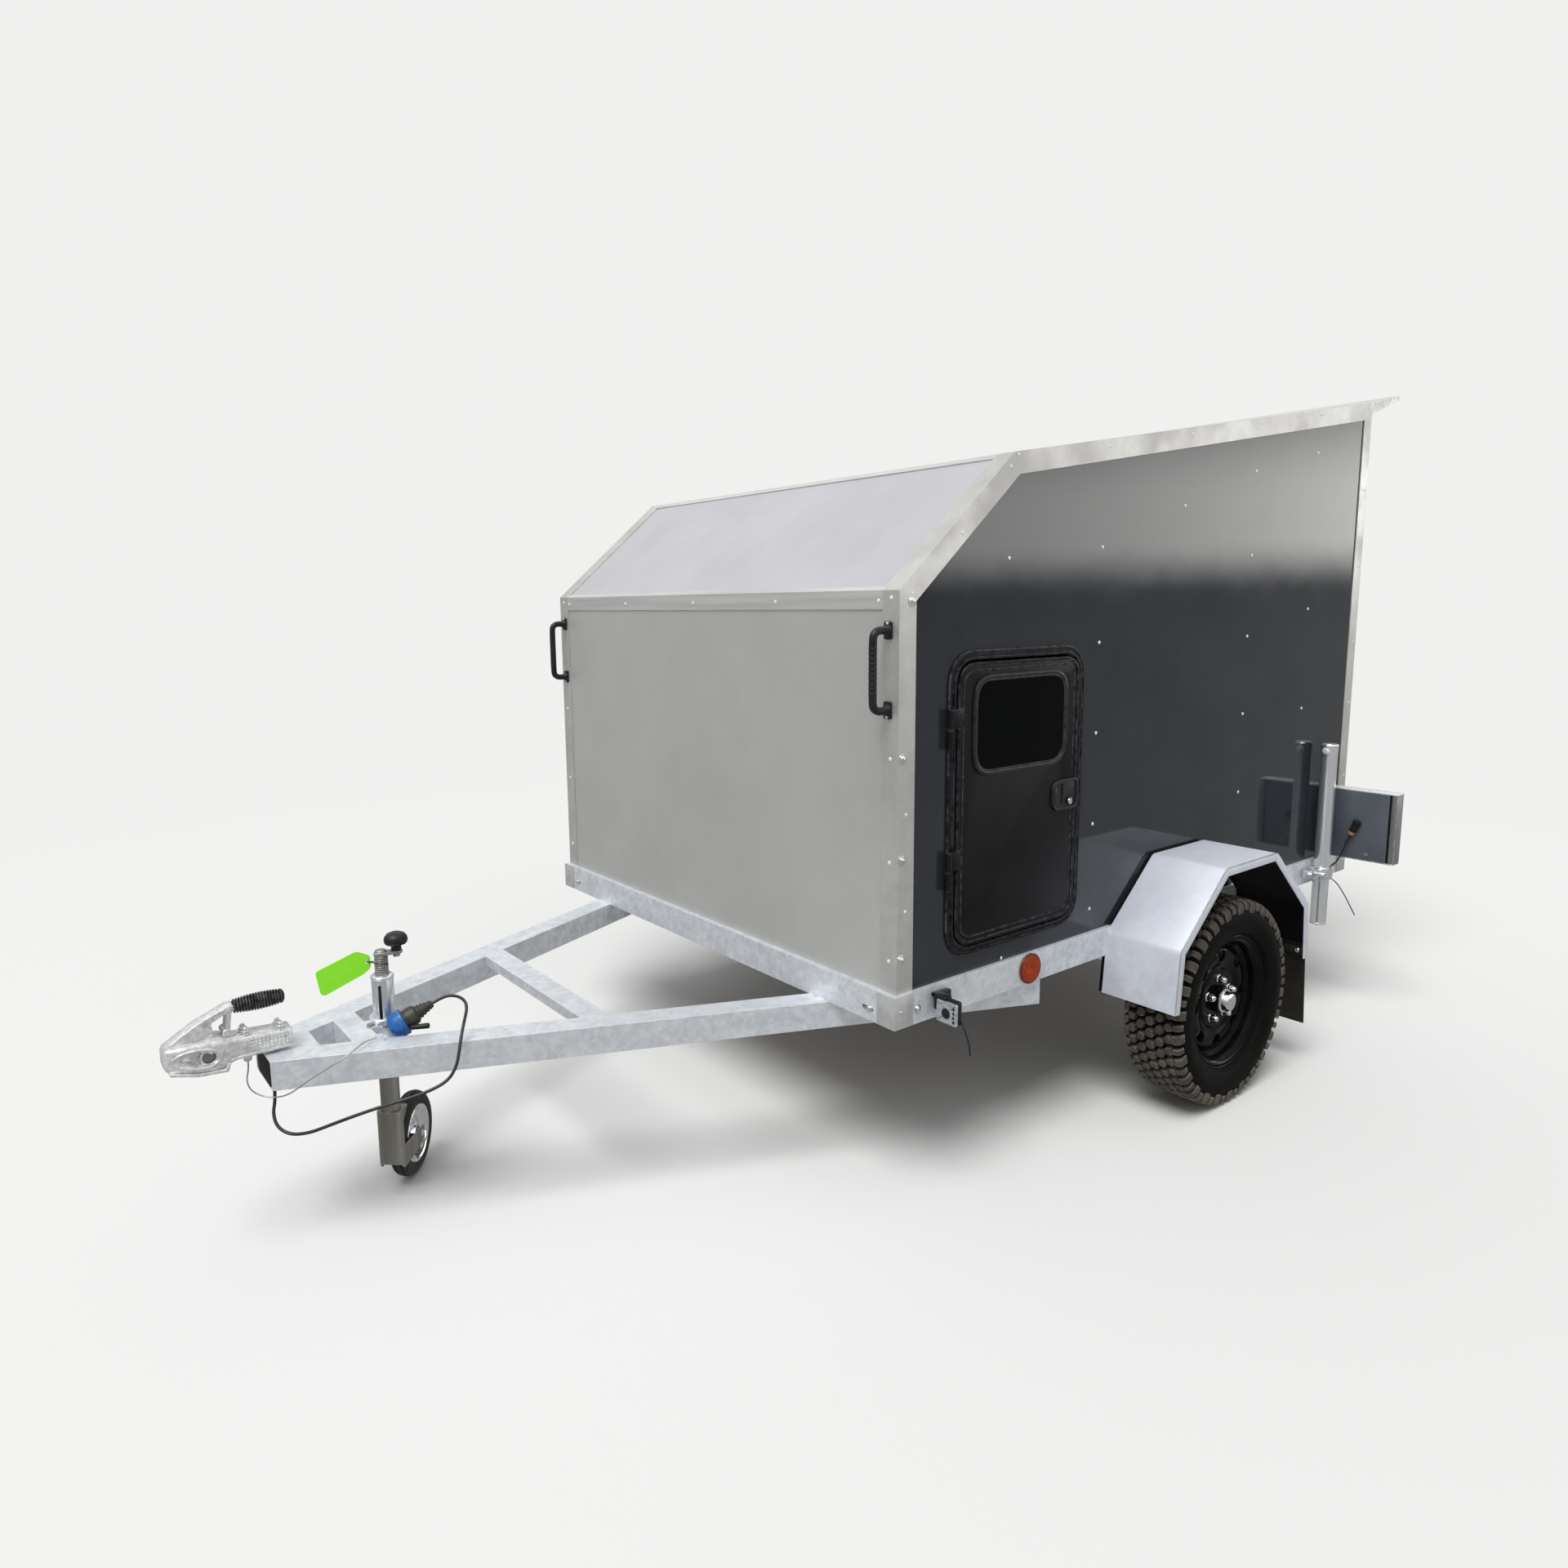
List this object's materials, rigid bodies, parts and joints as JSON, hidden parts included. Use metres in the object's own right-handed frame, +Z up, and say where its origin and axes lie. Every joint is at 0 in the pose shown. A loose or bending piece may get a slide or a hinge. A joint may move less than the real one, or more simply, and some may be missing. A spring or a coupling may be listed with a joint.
{
  "type": "box camper trailer",
  "caption": "Single-axle box camper trailer with a hollow panelled body, side doors, lifting rear hatch, A-frame drawbar, jockey wheel and corner steadies.",
  "frame": {"origin": "on the ground, under the middle of the whole trailer from coupling tip to roof lip", "axes": "+X towards the coupling, +Y to the left side, +Z up"},
  "size_m": [3.642, 1.96, 2.015],
  "materials": {
    "amber_lens": "amber lens",
    "anthracite_panel": "gloss anthracite faced board",
    "black_cable": "black sheath",
    "black_grip": "ribbed black grip on a steel lever",
    "black_plastic": "satin black",
    "black_rim": "satin black",
    "black_rubber": "ribbed moulded rubber",
    "blue_plastic": "blue",
    "cast_steel": "bright cast and galvanised",
    "door_black": "satin black",
    "flap_rubber": "black rubber sheet",
    "floor_board": "phenolic faced plywood",
    "galvanised_steel": "hot-dip galvanised, dull spangle",
    "green_tag": "bright green tag",
    "grey_panel": "satin light grey faced board",
    "leg_steel": "dull grey-brown steel",
    "marker_lens": "clear lens on a black base",
    "mudguard_aluminium": "satin folded sheet",
    "red_lens": "red lens",
    "solid_rubber": "solid black rubber",
    "steel_wire": "thin steel wire rope",
    "tinted_glass": "dark tinted acrylic",
    "trim_aluminium": "mill finish aluminium",
    "tyre": "black rubber, dusty",
    "zinc_plate": "bright zinc plate"
  },
  "bodies": {
    "trailer": {"axle_beam": "galvanised_steel", "board_lead_left": "black_cable", "board_lead_right": "black_cable", "cable_glands": "black_rubber", "chassis_cross_members": "galvanised_steel", "chassis_end_rails": "galvanised_steel", "chassis_side_rails": "galvanised_steel", "coupling_head": "cast_steel", "coupling_lever": "black_grip", "cross_trims": "trim_aluminium", "door_frame_left": "door_black", "door_frame_right": "door_black", "drawbar_plates": "galvanised_steel", "drawbar_rail_left": "galvanised_steel", "drawbar_rail_right": "galvanised_steel", "edge_trim_left": "trim_aluminium", "edge_trim_right": "trim_aluminium", "floor_panel": "floor_board", "front_wall": "grey_panel", "grab_handles": "black_plastic", "hang_tag": "green_tag", "jockey_crank": "zinc_plate", "jockey_mount": "galvanised_steel", "jockey_outer_tube": "zinc_plate", "lamp_boards": "trim_aluminium", "marker_lamps": "marker_lens", "mudflaps": "flap_rubber", "mudguard_left": "mudguard_aluminium", "mudguard_right": "mudguard_aluminium", "plug_cap": "blue_plastic", "roof_lip": "trim_aluminium", "roof_panel": "grey_panel", "safety_cable": "steel_wire", "side_reflectors": "amber_lens", "side_wall_left": "anthracite_panel", "side_wall_right": "anthracite_panel", "sloped_panel": "grey_panel", "stand_clamps": "zinc_plate", "suspension_arms": "galvanised_steel", "tail_lamps": "red_lens", "tow_lead": "black_cable", "tow_plug": "black_rubber"},
    "wheel_left": {"hub_left": "zinc_plate", "rim_left": "black_rim", "tyre_left": "tyre"},
    "wheel_right": {"hub_right": "zinc_plate", "rim_right": "black_rim", "tyre_right": "tyre"},
    "door_left": {"door_left": "door_black", "door_window_left": "tinted_glass"},
    "door_right": {"door_right": "door_black", "door_window_right": "tinted_glass"},
    "rear_hatch": {"rear_hatch": "grey_panel"},
    "jockey_leg": {"jockey_leg": "leg_steel"},
    "jockey_fork": {"jockey_fork": "leg_steel"},
    "jockey_wheel": {"jockey_rim": "zinc_plate", "jockey_tyre": "solid_rubber"},
    "steady_left": {"steady_left": "zinc_plate"},
    "steady_right": {"steady_right": "zinc_plate"}
  },
  "joints": [
    {"name": "wheel_left_spin", "type": "hinge", "parent": "trailer", "child": "wheel_left", "pos_m": [-0.556, 0.8925, 0.2825], "axis": [0, 1, 0], "continuous": true},
    {"name": "wheel_right_spin", "type": "hinge", "parent": "trailer", "child": "wheel_right", "pos_m": [-0.556, -0.8925, 0.2825], "axis": [0, 1, 0], "continuous": true},
    {"name": "door_left_swing", "type": "hinge", "parent": "trailer", "child": "door_left", "pos_m": [0.361, 0.772, 0.8985], "axis": [0, 0, -1], "range_deg": [0, 110]},
    {"name": "door_right_swing", "type": "hinge", "parent": "trailer", "child": "door_right", "pos_m": [0.361, -0.772, 0.8985], "axis": [0, 0, 1], "range_deg": [0, 110]},
    {"name": "rear_hatch_lift", "type": "hinge", "parent": "trailer", "child": "rear_hatch", "pos_m": [-1.628, 0, 1.918], "axis": [0, 1, 0], "range_deg": [0, 85]},
    {"name": "jockey_leg_slide", "type": "slide", "parent": "trailer", "child": "jockey_leg", "axis": [0, 0, 1], "range_m": [-0.04, 0.09]},
    {"name": "jockey_swivel", "type": "hinge", "parent": "jockey_leg", "child": "jockey_fork", "pos_m": [1.377, 0, 0.216], "axis": [0, 0, 1], "continuous": true},
    {"name": "jockey_wheel_spin", "type": "hinge", "parent": "jockey_fork", "child": "jockey_wheel", "pos_m": [1.30951, -0.08043, 0.1], "axis": [0.766, -0.6428, 0], "continuous": true},
    {"name": "steady_left_drop", "type": "slide", "parent": "trailer", "child": "steady_left", "axis": [0, 0, -1], "range_m": [0, 0.288]},
    {"name": "steady_right_drop", "type": "slide", "parent": "trailer", "child": "steady_right", "axis": [0, 0, -1], "range_m": [0, 0.288]}
  ]
}
